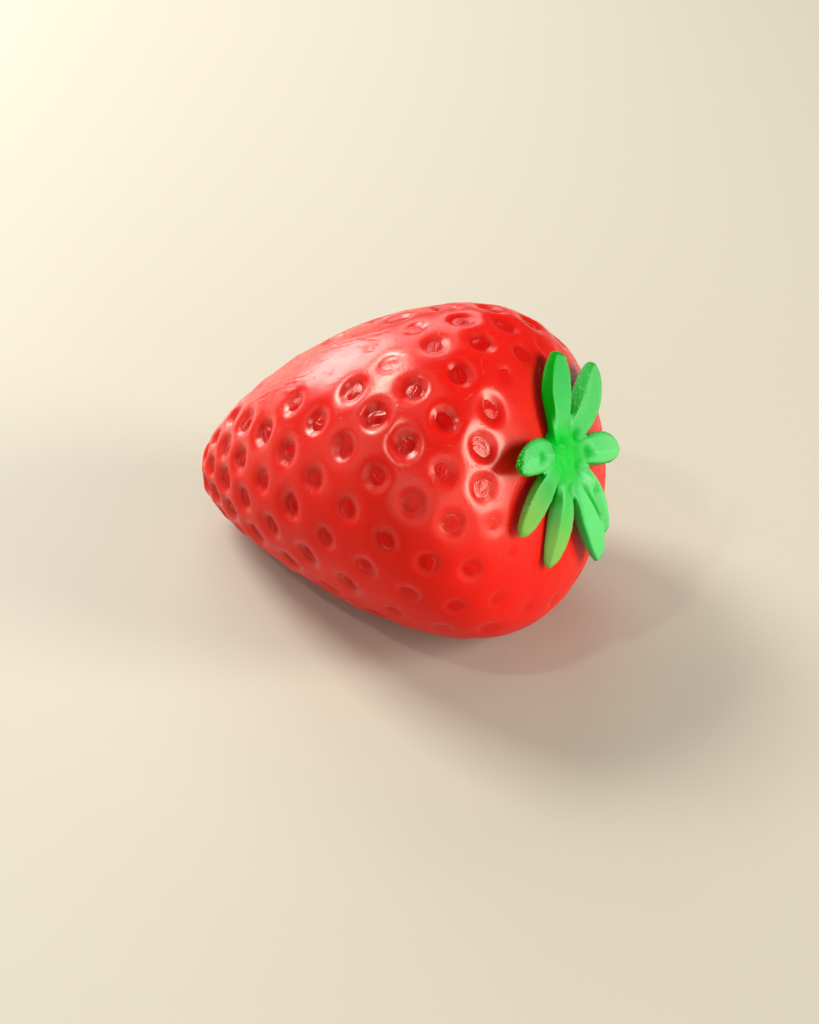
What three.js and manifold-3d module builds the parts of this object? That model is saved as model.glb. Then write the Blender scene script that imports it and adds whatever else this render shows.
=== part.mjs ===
// Marzipan strawberry lying on its side. A red berry carries rings of round seed dimples, and a
// green star of eight thick moulded leaves sits on its blunt end.
// Millimetres, +Z up, the tip towards -X and the leaves towards +X.
import * as THREE from 'three';
import { mergeVertices } from 'three/addons/utils/BufferGeometryUtils.js';
import Module from 'manifold-3d';

const wasm = await Module();
wasm.setup();

// Berry: along its own axis it runs from the leaf end (angle 0) to the tip (angle pi)
const BERRY_LENGTH = 70.8;
const BERRY_GIRTH = 23.8;         // radius before the taper and shoulder terms shape it
const TAPER = 0.62;               // fat at the leaf end, slim at the tip
const BELLY = 0.034;              // square ends against a full middle
const SHOULDER = 0.036;           // blunt leaf end
const SAG_AT_LEAVES = -0.13;      // below 0: fuller underneath
const SAG_AT_TIP = 0.148;         // above 0: fuller on top, so the tip turns up
const WIDENING = 0.043;           // wider than it is high
const BERRY_TILT = 21.9;          // degrees that the leaf end is raised
const FLAT_DEPTH = 1.2;           // depth of the spot pressed flat where the berry rests

// Seed dimples: rings round the axis, each half a step round from the last
const RINGS = 13;
const DIMPLES_A_RING = 18;
const TIP_RING_COUNTS = { 10: 16, 11: 11, 12: 6 };
const RING_START = 0.47;          // angle of the first ring from the leaf end, in radians
const RING_STEP = 0.1813;
const RING_GROWTH = 0.00067;      // how much the step grows towards the tip
const RING_LEAN = 0.057;          // the first rings lean towards the leaves underneath
const RING_LEAN_FADE = 8;         // ring on which they stand square
const LEAN_TOWARDS = 22;          // degrees round from the top
const FIRST_DIMPLE = -55.3;       // degrees round from the top
const DIMPLE_RADIUS = 2.9;
const DIMPLE_CROWDING = 0.43;     // widest radius as a share of the room between two dimples
const DIMPLE_DEPTH = 1.15;
const SEED_RISE = 0.7;            // height of the seed above the bottom of its dimple
const FLOOR_SHARE = 0.48;         // radius of the bottom ring as a share of the rim's
const DIMPLE_WANDER = 0.16;       // how far a dimple strays from its ring, in mm
const DEPTH_WANDER = 0.12;        // how far its depth strays, as a share
// The paste was drawn round a little on the upper side of the leaf end, and its rings drawn apart
const DRAWN_ROUND = 14;           // degrees, most in the first ring
const DRAWN_FADE = 2.3;           // rings over which it fades
const DRAWN_SPAN = { from: -60, most: 20, to: 140 };  // degrees round from the top
const DRAWN_APART = { shift: 0.032, round: -30, halfRound: 42, ring: 2.5, rings: 1.6 };
// Depth shares. The heavy end's dimples are shallower, but for those on its upper front
const HEAVY_END = { share: 0.6, fromRing: 3.2, toRing: 6 };
const UPPER_FRONT = { share: 0.45, round: -25, halfRound: 45, ring: 2, rings: 2.6 };
// The dimples that lie pressed underneath: how far down they face, and their angle from the leaf end
const PRESSED = { share: 0.5, fromDown: -0.1, toDown: 0.7, fromPolar: 1, toPolar: 1.6 };
const FIRST_RING = { faintest: 0.12, front: 0.7, frontRound: -55, top: 0.4, topRound: 5 };
const FIRST_RING_FRONT_POWER = 6; // the higher, the narrower the deep stretch
const FIRST_RING_TOP_POWER = 40;
const RUBBED_SPOTS = [            // smoothed by handling: depth lost, and half sizes
  { ring: 6.9, round: -20, rings: 2, halfRound: 25, lost: 1 },
  { ring: 4.9, round: -12, rings: 1.7, halfRound: 30, lost: 1 },
  { ring: 2.5, round: -10, rings: 1.1, halfRound: 14, lost: 0.5 },
  { ring: 3, round: -25, rings: 0.8, halfRound: 14, lost: 0.4 },
];
const RUBBED_CORE = 0.35;         // share of a spot's half sizes that is wholly rubbed
const RIM_SIDES = 12;
const FLOOR_SIDES = 6;
const LEAF_END_CIRCLES = [        // plain skin inside the first ring
  { sides: 12, polar: 0.1 },
  { sides: 24, polar: 0.19 },
  { sides: 48, polar: 0.27 },
];

// Leaf star: one moulding, each leaf a wavy bar with a ridge down its middle
const STAR_GAP = 0.3;             // clearance to the berry
const FACET_ALLOWANCE = 0.08;     // for the flats between the points that the clearance is cut by
const CLEARANCE_ROWS = 30;
const CLEARANCE_SIDES = 48;
const STAR_SHIFT = -1.5;          // the star sits this far off the berry's axis
const LEAF_THICKNESS = 1.5;
const TIP_THINNING = 0.45;        // share of the thickness lost by the tip
const LEAF_STATIONS = 11;
const WIDEST_AT = 0.58;           // share of the length at which a leaf has reached its full width
const NARROWS_FROM = 0.5;         // share of the length from which it is drawn in
const NARROWING_POWER = 2.4;      // the higher, the later it is drawn in
const TWISTED_BY = 0.5;           // share of the length over which it takes up its twist
const SHOULDER_SHARE = 0.25;      // from the edge to the ridge, at full thickness
const SHOULDER_HEIGHT = 0.95;     // these heights are shares of the thickness
const EDGE_HEIGHT = 0.5;
const UNDERSIDE_HOLLOW = 0.07;
const UNDERSIDE_WIDTH = 0.8;      // share of the leaf's width
const RIDGE_ENDS = 0.1;           // share of the length by which the ridge's arch runs on at each end
const LEAF_START = 1.2;           // where the leaves leave the middle of the star
const LEAF_SEAT = 0.5;            // height of their underside there
const TIP_ROUNDING = 0.7;
const HUB_RADIUS = 3.6;
const HUB_REACH = 5.2;            // its half length, towards the upper and lower leaves
const HUB_DROP = 0.8;             // how far it sits below the middle of the star
const HUB_HEIGHT = 2.9;
const HUB_STEPS = 5;
const HUB_SIDES = 14;
// turn: degrees round the star, anticlockwise from the right-hand leaf as the star is looked at.
// tip and arch: how far the tip and the middle stand above the star's own plane.
// twist: degrees that the face is turned about the leaf's length. bow and lean: how far the middle
// and the tip lie to one side, in mm. ridge: its place between the edges, -1 to 1, and crest its
// height in mm. stalk and blunt: width at the start and at the tip, against the widest.
const LEAVES = [
  { turn: 80, length: 16.2, width: 5.9, tip: -1.2, arch: 0.4, twist: -24, bow: -1.6, lean: 0.3,
    ridge: -0.6, crest: 0.9, stalk: 0.75, blunt: 0.6 },
  { turn: 45, length: 20.6, width: 7.0, tip: -1.5, arch: 0.8, twist: -12, bow: -0.4, lean: 0.3,
    ridge: -0.6, crest: 0.9, stalk: 0.35, blunt: 0.35 },
  { turn: 4, length: 19.3, width: 5.6, tip: -0.5, arch: 0.8, twist: 0, bow: -0.5, lean: 0,
    ridge: 0.2, crest: 0.7, stalk: 0.5, blunt: 0.3 },
  { turn: 328, length: 20.8, width: 5.6, tip: -2.0, arch: 0.4, twist: 8, bow: -0.3, lean: 0.9,
    ridge: -0.2, crest: 0.7, stalk: 0.85, blunt: 0.2 },
  { turn: 310.5, length: 21.4, width: 5.8, tip: -1.5, arch: 0.6, twist: 18, bow: -0.1, lean: -0.5,
    ridge: 0.8, crest: 0.8, stalk: 0.5, blunt: 0.55 },
  { turn: 271, length: 17.0, width: 5.1, tip: -2.0, arch: 0.4, twist: 26, bow: -0.4, lean: 0.7,
    ridge: 0.3, crest: 0.7, stalk: 0.6, blunt: 0.25 },
  { turn: 235.5, length: 15.1, width: 4.6, tip: -1.5, arch: 0.8, twist: 18, bow: 1.5, lean: 0.6,
    ridge: 0.8, crest: 0.8, stalk: 0.7, blunt: 0.25 },
  { turn: 184, length: 13.2, width: 5.8, tip: 1.0, arch: 0.8, twist: 0, bow: 0.5, lean: -0.9,
    ridge: 0, crest: 0.9, stalk: 0.6, blunt: 0.4 },
];

const FULL_TURN = 2 * Math.PI;
const { clamp, degToRad: radians, lerp, smoothstep } = THREE.MathUtils;

// A repeatable run of numbers between -1 and 1
const DRAW_RANGE = 2 ** 31;
const DRAW_FACTOR = 1103515245;
const DRAW_STEP = 12345;
let drawState = 20531;
function draw() {
  drawState = (drawState * DRAW_FACTOR + DRAW_STEP) % DRAW_RANGE;
  return 2 * drawState / DRAW_RANGE - 1;
}

// Berry surface, before the flat spot is cut
const tilt = radians(BERRY_TILT);
function tilted(along, across, up) {
  return new THREE.Vector3(
    along * Math.cos(tilt) - up * Math.sin(tilt),
    across,
    along * Math.sin(tilt) + up * Math.cos(tilt),
  );
}

function barePoint(polar, round) {
  const c = Math.cos(polar);
  const radius = BERRY_GIRTH * Math.sin(polar)
    * Math.exp(TAPER * c + BELLY * (Math.cos(2 * polar) + 1) + SHOULDER * Math.cos(3 * polar));
  const sag = SAG_AT_LEAVES + (SAG_AT_TIP - SAG_AT_LEAVES) * (1 - c) / 2;
  const around = 1 + sag * Math.cos(round) - WIDENING * Math.cos(2 * round);
  return tilted(BERRY_LENGTH / 2 * c, radius * around * Math.sin(round),
    radius * around * Math.cos(round));
}

const PROFILE_STEPS = 360;
function lowestPoint() {
  let low = Infinity;
  for (let i = 0; i <= PROFILE_STEPS; i += 1) {
    low = Math.min(low, barePoint(Math.PI * i / PROFILE_STEPS, Math.PI).z);
  }
  return low;
}
const lift = -lowestPoint() - FLAT_DEPTH;

const SMALL_STEP = 0.002;
const POLE_MARGIN = 0.02;         // no slope is taken nearer to the ends than this
function slopes(polar, round) {
  const p = clamp(polar, POLE_MARGIN, Math.PI - POLE_MARGIN);
  const alongMeridian = barePoint(p + SMALL_STEP, round).sub(barePoint(p - SMALL_STEP, round));
  const alongRing = barePoint(p, round + SMALL_STEP).sub(barePoint(p, round - SMALL_STEP));
  return {
    meridian: alongMeridian.length() / (2 * SMALL_STEP),
    ring: alongRing.length() / (2 * SMALL_STEP),
    normal: alongRing.cross(alongMeridian).normalize(),
  };
}

function skinPoint(polar, round, height) {
  const point = barePoint(polar, round).addScaledVector(slopes(polar, round).normal, height);
  point.z += lift;
  return point;
}

// A growing list of points and of triangles
class Shell {
  constructor() {
    this.points = [];
    this.faces = [];
  }

  add(point) {
    this.points.push(point);
    return this.points.length - 1;
  }

  // Triangles between two closed loops that run the same way round, with the shortest edges across
  zip(upperLoop, lowerLoop) {
    const apart = (a, b) => this.points[a].distanceTo(this.points[b]);
    const upper = [...upperLoop, upperLoop[0]];
    const nearest = lowerLoop.reduce((best, n, i) => (
      apart(upper[0], n) < apart(upper[0], lowerLoop[best]) ? i : best), 0);
    const lower = [...lowerLoop.slice(nearest), ...lowerLoop.slice(0, nearest + 1)];

    // edgeSums[i][j]: least sum of the edges up to the one from upper point i to lower point j
    const edgeSums = upper.map(() => []);
    const sumAt = (i, j) => (i < 0 || j < 0 ? Infinity : edgeSums[i][j]);
    upper.forEach((a, i) => lower.forEach((b, j) => {
      edgeSums[i][j] = apart(a, b) + (i + j > 0 ? Math.min(sumAt(i - 1, j), sumAt(i, j - 1)) : 0);
    }));

    let i = upper.length - 1;
    let j = lower.length - 1;
    while (i + j > 0) {
      if (sumAt(i - 1, j) <= sumAt(i, j - 1)) {
        this.faces.push([upper[i - 1], upper[i], lower[j]]);
        i -= 1;
      } else {
        this.faces.push([upper[i], lower[j], lower[j - 1]]);
        j -= 1;
      }
    }
  }

  fan(loop, centre) {
    loop.forEach((a, i) => this.faces.push([a, loop[(i + 1) % loop.length], centre]));
  }

  geometry() {
    const g = new THREE.BufferGeometry();
    g.setAttribute('position', new THREE.Float32BufferAttribute(
      this.points.flatMap((p) => p.toArray()), 3));
    g.setIndex(this.faces.flat());
    return g;
  }
}

// Solids for cutting and joining
const WELD_DISTANCE = 1e-4;
function solidFrom(geometry) {
  const bare = geometry.clone();
  bare.deleteAttribute('normal');
  bare.deleteAttribute('uv');
  const merged = mergeVertices(bare, WELD_DISTANCE);
  return new wasm.Manifold(new wasm.Mesh({
    numProp: 3,
    vertProperties: new Float32Array(merged.attributes.position.array),
    triVerts: new Uint32Array(merged.index.array),
  }));
}

function geometryFrom(solid) {
  const mesh = solid.getMesh();
  const g = new THREE.BufferGeometry();
  g.setAttribute('position', new THREE.BufferAttribute(new Float32Array(mesh.vertProperties), 3));
  g.setIndex(new THREE.BufferAttribute(new Uint32Array(mesh.triVerts), 1));
  return g;
}

// Seed dimples
function ringPolar(ring, round) {
  const lean = RING_LEAN * (1 - ring / RING_LEAN_FADE);
  return RING_START + RING_STEP * ring + RING_GROWTH * ring * ring
    + lean * (Math.cos(round - radians(LEAN_TOWARDS)) - 1);
}

// 1 in the middle of a span, down to 0 at its two ends
function hump(value, middle, half) {
  return Math.max(0, 1 - ((value - middle) / half) ** 2);
}

function drawnRound(ring, degrees) {
  const { from, most, to } = DRAWN_SPAN;
  return DRAWN_ROUND * Math.exp(-ring / DRAWN_FADE)
    * smoothstep(degrees, from, most) * (1 - smoothstep(degrees, most, to));
}

function drawnApart(ring, degrees) {
  const { shift, round, halfRound, ring: middle, rings } = DRAWN_APART;
  return shift * hump(degrees, round, halfRound) * (hump(ring, middle, rings) - hump(ring, 0, 1));
}

function rubbed(ring, degrees) {
  return RUBBED_SPOTS.reduce((left, spot) => {
    const away = Math.hypot((ring - spot.ring) / spot.rings, (degrees - spot.round) / spot.halfRound);
    return left * (1 - spot.lost * (1 - smoothstep(away, RUBBED_CORE, 1)));
  }, 1);
}

function firstRingShare(degrees) {
  const { faintest, front, frontRound, top, topRound } = FIRST_RING;
  const towards = (middle) => Math.max(0, Math.cos(radians(degrees - middle)));
  return faintest + front * towards(frontRound) ** FIRST_RING_FRONT_POWER
    + top * towards(topRound) ** FIRST_RING_TOP_POWER;
}

// How deep a dimple is, as a share of the full depth
function depthShare(ring, polar, degrees) {
  const { share, round, halfRound, ring: middle, rings } = UPPER_FRONT;
  const heavyEnd = lerp(HEAVY_END.share, 1, smoothstep(ring, HEAVY_END.fromRing, HEAVY_END.toRing));
  const upperFront = share * hump(degrees, round, halfRound) * hump(ring, middle, rings);
  const underside = smoothstep(-Math.cos(radians(degrees)), PRESSED.fromDown, PRESSED.toDown)
    * (1 - smoothstep(polar, PRESSED.fromPolar, PRESSED.toPolar));
  return (ring === 0 ? firstRingShare(degrees) : heavyEnd + upperFront) * rubbed(ring, degrees)
    * lerp(1, PRESSED.share, underside) * (1 + DEPTH_WANDER * draw());
}

function dimple(shell, ring, index, count) {
  const step = FULL_TURN / count;
  const degrees = FIRST_DIMPLE + 360 / count * (index + (ring % 2) / 2);
  const middleRound = radians(degrees + drawnRound(ring, degrees));
  const middlePolar = ringPolar(ring, radians(degrees)) + drawnApart(ring, degrees);
  const { meridian, ring: girth } = slopes(middlePolar, middleRound);
  const polar = middlePolar + DIMPLE_WANDER * draw() / meridian;
  const round = middleRound + DIMPLE_WANDER * draw() / girth;
  const depth = DIMPLE_DEPTH * depthShare(ring, polar, degrees);
  const halfAcross = Math.min(DIMPLE_RADIUS, DIMPLE_CROWDING * step * girth);
  const halfAlong = Math.min(DIMPLE_RADIUS, 0.5 * (DIMPLE_RADIUS + halfAcross));
  const circle = (sides, share, height) => Array.from({ length: sides }, (_, i) => {
    const angle = FULL_TURN * i / sides;
    return shell.add(skinPoint(
      polar - share * halfAlong * Math.sin(angle) / meridian,
      round - share * halfAcross * Math.cos(angle) / girth,
      height,
    ));
  });
  const rim = circle(RIM_SIDES, 1, 0);
  const floor = circle(FLOOR_SIDES, FLOOR_SHARE, -depth);
  const seedTop = shell.add(skinPoint(polar, round, (SEED_RISE / DIMPLE_DEPTH - 1) * depth));
  shell.zip(rim, floor);
  shell.fan(floor, seedTop);
  // the rim's half towards the leaves and its half towards the tip, both in the direction of turn
  const half = RIM_SIDES / 2;
  return {
    nearLeaves: rim.slice(0, half + 1),
    nearTip: [rim[0], ...rim.slice(half).reverse()],
  };
}

function circleOfSkin(shell, sides, polar, height) {
  return Array.from({ length: sides }, (_, i) => {
    const round = radians(FIRST_DIMPLE) + FULL_TURN * i / sides;
    return shell.add(skinPoint(polar, round, height));
  });
}

function berrySolid() {
  const shell = new Shell();
  const [inner, ...others] = LEAF_END_CIRCLES.map(({ sides, polar }) => (
    circleOfSkin(shell, sides, polar, 0)));
  shell.fan([...inner].reverse(), shell.add(skinPoint(0, 0, 0)));
  let above = inner;
  others.forEach((circle) => {
    shell.zip(above, circle);
    above = circle;
  });
  for (let ring = 0; ring < RINGS; ring += 1) {
    const count = TIP_RING_COUNTS[ring] ?? DIMPLES_A_RING;
    const row = Array.from({ length: count }, (_, i) => dimple(shell, ring, i, count));
    shell.zip(above, row.flatMap((d) => d.nearLeaves));
    above = row.flatMap((d) => d.nearTip);
  }
  shell.fan(above, shell.add(skinPoint(Math.PI, 0, 0)));
  const below = new THREE.BoxGeometry(2 * BERRY_LENGTH, 2 * BERRY_LENGTH, BERRY_LENGTH)
    .translate(0, 0, -BERRY_LENGTH / 2);
  return solidFrom(shell.geometry()).subtract(solidFrom(below));
}

// The berry without dimples, standing a little proud, which the star is cut to
function clearanceSolid() {
  const shell = new Shell();
  const proud = STAR_GAP + FACET_ALLOWANCE;
  const circle = (row) => (
    circleOfSkin(shell, CLEARANCE_SIDES, Math.PI * row / CLEARANCE_ROWS, proud));
  let above = circle(1);
  shell.fan([...above].reverse(), shell.add(skinPoint(0, 0, proud)));
  for (let row = 2; row < CLEARANCE_ROWS; row += 1) {
    const next = circle(row);
    shell.zip(above, next);
    above = next;
  }
  shell.fan(above, shell.add(skinPoint(Math.PI, 0, proud)));
  return solidFrom(shell.geometry());
}

// Leaf star
const PHOTO_TURN = radians(28);
const PHOTO_RISE = radians(36.4);
const starAxis = tilted(1, 0, 0);
const towardsViewer = new THREE.Vector3(
  Math.sin(PHOTO_TURN) * Math.cos(PHOTO_RISE),
  -Math.cos(PHOTO_TURN) * Math.cos(PHOTO_RISE),
  Math.sin(PHOTO_RISE),
);
const starUp = towardsViewer.clone().cross(starAxis).normalize();
const starRight = starUp.clone().cross(starAxis).normalize();
const starMiddle = skinPoint(0, 0, 0).addScaledVector(starRight, STAR_SHIFT);

// Half the width of a leaf as a share of its widest, from 0 at the middle of the star to 1 at the
// tip: a narrow stalk, widest past half way, then drawn in to a blunt point
function leafOutline(share, stalk, blunt) {
  const rise = lerp(stalk, 1, Math.sin(Math.PI / 2 * Math.min(1, share / WIDEST_AT)));
  const narrowing = Math.max(0, share - NARROWS_FROM) / (1 - NARROWS_FROM);
  const fall = Math.sqrt(Math.max(0, 1 - narrowing ** NARROWING_POWER));
  return rise * Math.max(blunt, fall);
}

// One leaf: rings of corners round a section with a flat underside, two edges and a ridge, strung
// along a line that leaves the middle of the star and follows the leaf's own arch and bow
function leafSolid(leaf) {
  const { turn, length, width, tip, arch, twist, bow, lean, ridge, crest, stalk, blunt } = leaf;
  const out = starRight.clone().multiplyScalar(Math.cos(radians(turn)))
    .addScaledVector(starUp, Math.sin(radians(turn)));
  const side = out.clone().cross(starAxis);
  const shell = new Shell();
  let previous = null;
  for (let i = 0; i < LEAF_STATIONS; i += 1) {
    const share = i / (LEAF_STATIONS - 1);
    const half = width / 2 * leafOutline(share, stalk, blunt);
    const turned = radians(twist) * Math.min(1, share / TWISTED_BY);
    const face = starAxis.clone().multiplyScalar(Math.cos(turned))
      .addScaledVector(side, Math.sin(turned));
    const edge = side.clone().multiplyScalar(Math.cos(turned))
      .addScaledVector(starAxis, -Math.sin(turned));
    const middle = starMiddle.clone()
      .addScaledVector(out, LEAF_START + (length - LEAF_START) * share)
      .addScaledVector(starAxis, LEAF_SEAT + tip * share * share + arch * Math.sin(Math.PI * share))
      .addScaledVector(side, bow * Math.sin(Math.PI * share) + lean * share ** 3);
    const thickness = LEAF_THICKNESS * (1 - TIP_THINNING * share);
    const top = thickness + crest * Math.sin(Math.PI * lerp(RIDGE_ENDS, 1 - RIDGE_ENDS, share));
    // corners of the section: half widths across, then the height above the underside
    const section = [
      [-UNDERSIDE_WIDTH, 0],
      [-1, EDGE_HEIGHT * thickness],
      [lerp(-1, ridge, SHOULDER_SHARE), SHOULDER_HEIGHT * thickness],
      [ridge, top],
      [lerp(1, ridge, SHOULDER_SHARE), SHOULDER_HEIGHT * thickness],
      [1, EDGE_HEIGHT * thickness],
      [UNDERSIDE_WIDTH, 0],
      [0, UNDERSIDE_HOLLOW * thickness],
    ];
    const loop = section.map(([across, up]) => shell.add(middle.clone()
      .addScaledVector(edge, across * half)
      .addScaledVector(face, up)));
    if (previous) {
      shell.zip(previous, loop);
    } else {
      shell.fan([...loop].reverse(),
        shell.add(middle.clone().addScaledVector(face, thickness / 2)));
    }
    previous = loop;
  }
  const tipMiddle = new THREE.Vector3();
  previous.forEach((n) => tipMiddle.addScaledVector(shell.points[n], 1 / previous.length));
  shell.fan(previous, shell.add(tipMiddle.addScaledVector(out, TIP_ROUNDING)));
  return solidFrom(shell.geometry());
}

function hubSolid() {
  const profile = [new THREE.Vector2(0, 0)];
  for (let i = 0; i < HUB_STEPS; i += 1) {
    const angle = Math.PI / 2 * i / HUB_STEPS;
    profile.push(new THREE.Vector2(HUB_RADIUS * Math.cos(angle), HUB_HEIGHT * Math.sin(angle)));
  }
  profile.push(new THREE.Vector2(0, HUB_HEIGHT));
  const g = new THREE.LatheGeometry(profile, HUB_SIDES);
  g.scale(1, 1, HUB_REACH / HUB_RADIUS);
  g.applyMatrix4(new THREE.Matrix4().makeBasis(starRight, starAxis, starUp.clone().negate()));
  const middle = starMiddle.clone().addScaledVector(starUp, -HUB_DROP);
  g.translate(middle.x, middle.y, middle.z);
  return solidFrom(g);
}

function starSolid() {
  let star = hubSolid();
  LEAVES.forEach((leaf) => {
    star = star.add(leafSolid(leaf));
  });
  return star.subtract(clearanceSolid());
}

// Assembly, with the middle of the whole over the origin
function named(name, solid, material) {
  const mesh = new THREE.Mesh(geometryFrom(solid), new THREE.MeshStandardMaterial(material));
  mesh.name = name;
  return mesh;
}

const group = new THREE.Group();
group.add(named('berry', berrySolid(), { color: 0xd8232a, roughness: 0.35, metalness: 0 }));
group.add(named('leaf_star', starSolid(), { color: 0x2fc455, roughness: 0.4, metalness: 0 }));
const centre = new THREE.Box3().setFromObject(group).getCenter(new THREE.Vector3());
group.position.set(-centre.x, -centre.y, 0);

export default group;
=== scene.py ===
# Marzipan strawberry on its side: the berry, its leaf star, and the floor, lights and camera.
# Metres, +Z up, the tip towards -X and the leaves towards +X.
import math

import bpy
from mathutils import Matrix, Vector


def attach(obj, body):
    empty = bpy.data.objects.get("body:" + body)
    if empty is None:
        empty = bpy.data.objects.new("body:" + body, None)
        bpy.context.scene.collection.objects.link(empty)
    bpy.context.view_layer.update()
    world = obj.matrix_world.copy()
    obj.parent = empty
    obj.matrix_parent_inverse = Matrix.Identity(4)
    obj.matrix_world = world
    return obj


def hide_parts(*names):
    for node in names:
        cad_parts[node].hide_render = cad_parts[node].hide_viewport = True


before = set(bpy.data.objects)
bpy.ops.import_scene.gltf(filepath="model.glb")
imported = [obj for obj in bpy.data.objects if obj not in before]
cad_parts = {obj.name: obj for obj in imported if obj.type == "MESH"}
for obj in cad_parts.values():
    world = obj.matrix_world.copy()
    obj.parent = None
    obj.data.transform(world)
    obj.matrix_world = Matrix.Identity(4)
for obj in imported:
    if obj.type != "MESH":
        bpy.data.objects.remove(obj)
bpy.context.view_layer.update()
scene = bpy.context.scene
MM = 0.001


# Camera. It looks down at the sweet from the leaf end's near side and is turned a little about
# its own axis. The lens and the shift give the photograph's frame of 819 by 1024 pixels.
CAMERA_PLACE = Vector((144.05, -265.31, 232.1)) * MM
CAMERA_TURN = 28.006     # degrees round the sweet
CAMERA_RISE = 36.44      # degrees above the floor
CAMERA_ROLL = 1.08
LENS = 78.64
SENSOR_WIDTH = 36
SHIFT_RIGHT = 0.0008
SHIFT_UP = 0.0109

camera_data = bpy.data.cameras.new("camera")
camera_data.lens = LENS
camera_data.sensor_width = SENSOR_WIDTH
camera_data.shift_x = SHIFT_RIGHT
camera_data.shift_y = SHIFT_UP
camera_data.clip_start = 0.01
camera_data.clip_end = 20
camera = bpy.data.objects.new("camera", camera_data)
scene.collection.objects.link(camera)
camera.matrix_world = (
    Matrix.Translation(CAMERA_PLACE)
    @ Matrix.Rotation(math.radians(CAMERA_TURN), 4, "Z")
    @ Matrix.Rotation(math.radians(90 - CAMERA_RISE), 4, "X")
    @ Matrix.Rotation(math.radians(CAMERA_ROLL), 4, "Z")
)
scene.camera = camera
scene.view_settings.view_transform = "Standard"


# Berry. Red marzipan cast in a soft mould: a round form that tapers from a blunt leaf end to a
# turned-up tip, with rings of round pits and a low seed in each. Its own weight has pressed a
# flat spot underneath.
class Field:
    """A number in a node tree, reckoned with as a plain number is."""

    def __init__(self, nodes, socket):
        self.nodes = nodes
        self.socket = socket

    def reckon(self, operation, *others):
        node = self.nodes.new("ShaderNodeMath")
        node.operation = operation
        for slot, value in zip(node.inputs, (self, *others)):
            feed(slot, value)
        return Field(self.nodes, node.outputs[0])

    def __add__(self, other):
        return self.reckon("ADD", other)

    def __sub__(self, other):
        return self.reckon("SUBTRACT", other)

    def __mul__(self, other):
        return self.reckon("MULTIPLY", other)

    def __truediv__(self, other):
        return self.reckon("DIVIDE", other)

    def __rsub__(self, other):
        return self.reckon("MULTIPLY", -1.0).reckon("ADD", other)

    __radd__ = __add__
    __rmul__ = __mul__


def feed(slot, value):
    """Gives an input a value, or links it to a field or to another node's output."""
    if isinstance(value, Field):
        value = value.socket
    if isinstance(value, bpy.types.NodeSocket):
        slot.id_data.links.new(value, slot)
    else:
        slot.default_value = value


def add_node(nodes, kind, inputs=None, **settings):
    """A node with its settings made and its inputs fed, by name or by number."""
    node = nodes.new(kind)
    for name, value in settings.items():
        setattr(node, name, value)
    for name, value in (inputs or {}).items():
        if isinstance(name, str):
            slot = next(s for s in node.inputs if s.enabled and s.name == name)
        else:
            slot = node.inputs[name]
        feed(slot, value)
    return node


def vector_sum(nodes, operation, *vectors):
    """Vector maths; a dot product or a length comes back as a number."""
    node = add_node(nodes, "ShaderNodeVectorMath", operation=operation)
    for slot, value in zip(node.inputs, vectors):
        feed(slot, value)
    if operation in ("DOT_PRODUCT", "LENGTH"):
        return Field(nodes, node.outputs["Value"])
    return node.outputs["Vector"]


def scaled(nodes, vector, factor):
    """A vector times a number."""
    return add_node(nodes, "ShaderNodeVectorMath", {0: vector, "Scale": factor},
                    operation="SCALE").outputs["Vector"]


def joined(nodes, x, y, z):
    """A vector from three numbers."""
    return add_node(nodes, "ShaderNodeCombineXYZ", {0: x, 1: y, 2: z}).outputs[0]


def parts_of(nodes, vector):
    """The three numbers of a vector."""
    split = add_node(nodes, "ShaderNodeSeparateXYZ", {0: vector})
    return [Field(nodes, out) for out in split.outputs]


def smooth_step(nodes, value, low, high, at_low=0.0, at_high=1.0):
    """A smooth change from one number to another as a field goes from low to high."""
    node = add_node(nodes, "ShaderNodeMapRange",
                    {0: value, 1: low, 2: high, 3: at_low, 4: at_high},
                    interpolation_type="SMOOTHSTEP")
    return Field(nodes, node.outputs[0])


def output_in_use(node):
    """The first output that a node's settings leave in use."""
    return next(s for s in node.outputs if s.enabled)


def noise_at(nodes, place, scale, detail):
    """Noise from 0 to 1; the scale is in waves a metre."""
    node = add_node(nodes, "ShaderNodeTexNoise",
                    {"Vector": place, "Scale": scale, "Detail": detail})
    return Field(nodes, node.outputs[0])


def new_tree(name, sizes):
    """A geometry node group with a named input for each size. Returns it and its input fields."""
    tree = bpy.data.node_groups.new(name, "GeometryNodeTree")
    for size, default in sizes.items():
        kind = "NodeSocketInt" if isinstance(default, int) else "NodeSocketFloat"
        socket = tree.interface.new_socket(size, in_out="INPUT", socket_type=kind)
        socket.default_value = default
    source = tree.nodes.new("NodeGroupInput")
    return tree, {size: Field(tree.nodes, source.outputs[size]) for size in sizes}


BERRY_FORM = {
    "Length": 70.8 * MM,
    "Girth": 23.8 * MM,
    "Taper": 0.62,
    "Belly": 0.034,
    "Shoulder": 0.036,
    "Sag at leaves": -0.13,
    "Sag at tip": 0.148,
    "Widening": 0.043,
    "Tilt": math.radians(21.9),
}
FLAT_DEPTH = 1.2 * MM
CENTRING = Vector((-3.6025, -0.0057, 0)) * MM


def skin_place(polar, around):
    """The berry's plain skin, for numbers: polar 0 is the leaf end, around 0 is the top."""
    form = BERRY_FORM
    along = math.cos(polar)
    radius = form["Girth"] * math.sin(polar) * math.exp(
        form["Taper"] * along + form["Belly"] * (math.cos(2 * polar) + 1)
        + form["Shoulder"] * math.cos(3 * polar))
    sag = form["Sag at leaves"] + (form["Sag at tip"] - form["Sag at leaves"]) * (1 - along) / 2
    radius *= 1 + sag * math.cos(around) - form["Widening"] * math.cos(2 * around)
    x = form["Length"] / 2 * along
    up = radius * math.cos(around)
    tilt = form["Tilt"]
    return Vector((x * math.cos(tilt) - up * math.sin(tilt), radius * math.sin(around),
                   x * math.sin(tilt) + up * math.cos(tilt)))


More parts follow.
